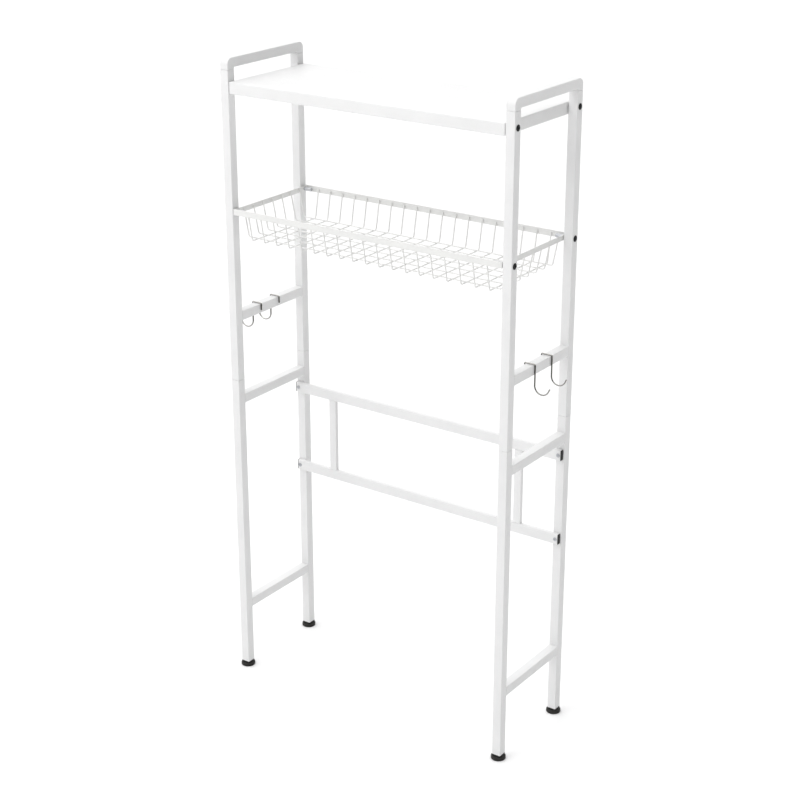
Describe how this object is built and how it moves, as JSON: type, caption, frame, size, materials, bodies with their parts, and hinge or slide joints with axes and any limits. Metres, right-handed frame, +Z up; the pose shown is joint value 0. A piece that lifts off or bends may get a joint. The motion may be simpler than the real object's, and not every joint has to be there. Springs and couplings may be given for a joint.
{
  "type": "over the toilet storage rack",
  "caption": "Free-standing white steel rack that straddles a toilet, with a folded shelf, a wire basket, side hook bars with wire hooks and a rear brace.",
  "frame": {"origin": "on the floor at the middle of the footprint", "axes": "+Z up, front towards -Y, +X to the right seen from the front"},
  "size_m": [0.8394, 0.28, 1.515],
  "materials": {
    "frame_coat": "white powder coat, satin",
    "shelf_coat": "white powder coat, satin",
    "basket_coat": "white powder coat over wire",
    "hook_steel": "bright plated wire",
    "zinc_steel": "zinc plated",
    "black_bolt": "black, satin",
    "black_plastic": "moulded",
    "foot_plastic": "moulded, fine grain"
  },
  "bodies": {
    "rack": {"handle_left": "frame_coat", "handle_right": "frame_coat", "upper_post_front_left": "frame_coat", "upper_post_front_right": "frame_coat", "upper_post_rear_left": "frame_coat", "upper_post_rear_right": "frame_coat", "lower_post_front_left": "frame_coat", "lower_post_front_right": "frame_coat", "lower_post_rear_left": "frame_coat", "lower_post_rear_right": "frame_coat", "hook_bar_left": "frame_coat", "hook_bar_right": "frame_coat", "mid_rail_left": "frame_coat", "mid_rail_right": "frame_coat", "low_rail_left": "frame_coat", "low_rail_right": "frame_coat", "shelf_panel": "shelf_coat", "shelf_weld_nuts": "zinc_steel", "shelf_bolts": "black_bolt", "basket_front_rail": "basket_coat", "basket_rear_rail": "basket_coat", "basket_end_rail_left": "basket_coat", "basket_end_rail_right": "basket_coat", "basket_sleeves": "zinc_steel", "basket_cross_wires": "basket_coat", "basket_long_wires": "basket_coat", "basket_bolts": "black_bolt", "brace_rail_upper": "frame_coat", "brace_rail_lower": "frame_coat", "brace_upright_left": "frame_coat", "brace_upright_right": "frame_coat", "brace_end_plugs": "black_plastic", "brace_screws": "zinc_steel", "brace_weld_nuts": "zinc_steel", "foot_insert_front_left": "black_plastic", "foot_insert_front_right": "black_plastic", "foot_insert_rear_left": "black_plastic", "foot_insert_rear_right": "black_plastic"},
    "foot_front_left": {"foot_stud_front_left": "zinc_steel", "foot_pad_front_left": "foot_plastic"},
    "foot_front_right": {"foot_stud_front_right": "zinc_steel", "foot_pad_front_right": "foot_plastic"},
    "foot_rear_left": {"foot_stud_rear_left": "zinc_steel", "foot_pad_rear_left": "foot_plastic"},
    "foot_rear_right": {"foot_stud_rear_right": "zinc_steel", "foot_pad_rear_right": "foot_plastic"},
    "hook_left_front": {"hook_left_front": "hook_steel"},
    "hook_left_rear": {"hook_left_rear": "hook_steel"},
    "hook_right_front": {"hook_right_front": "hook_steel"},
    "hook_right_rear": {"hook_right_rear": "hook_steel"}
  },
  "joints": [
    {"name": "foot_front_left_level", "type": "slide", "parent": "rack", "child": "foot_front_left", "axis": [0, 0, -1], "range_m": [0, 0.008]},
    {"name": "foot_front_right_level", "type": "slide", "parent": "rack", "child": "foot_front_right", "axis": [0, 0, -1], "range_m": [0, 0.008]},
    {"name": "foot_rear_left_level", "type": "slide", "parent": "rack", "child": "foot_rear_left", "axis": [0, 0, -1], "range_m": [0, 0.008]},
    {"name": "foot_rear_right_level", "type": "slide", "parent": "rack", "child": "foot_rear_right", "axis": [0, 0, -1], "range_m": [0, 0.008]},
    {"name": "hook_left_front_slide", "type": "slide", "parent": "rack", "child": "hook_left_front", "axis": [0, 1, 0], "range_m": [-0.062, 0.03]},
    {"name": "hook_left_rear_slide", "type": "slide", "parent": "rack", "child": "hook_left_rear", "axis": [0, 1, 0], "range_m": [-0.03, 0.088]},
    {"name": "hook_right_front_slide", "type": "slide", "parent": "rack", "child": "hook_right_front", "axis": [0, 1, 0], "range_m": [-0.076, 0.03]},
    {"name": "hook_right_rear_slide", "type": "slide", "parent": "rack", "child": "hook_right_rear", "axis": [0, 1, 0], "range_m": [-0.03, 0.07]}
  ]
}
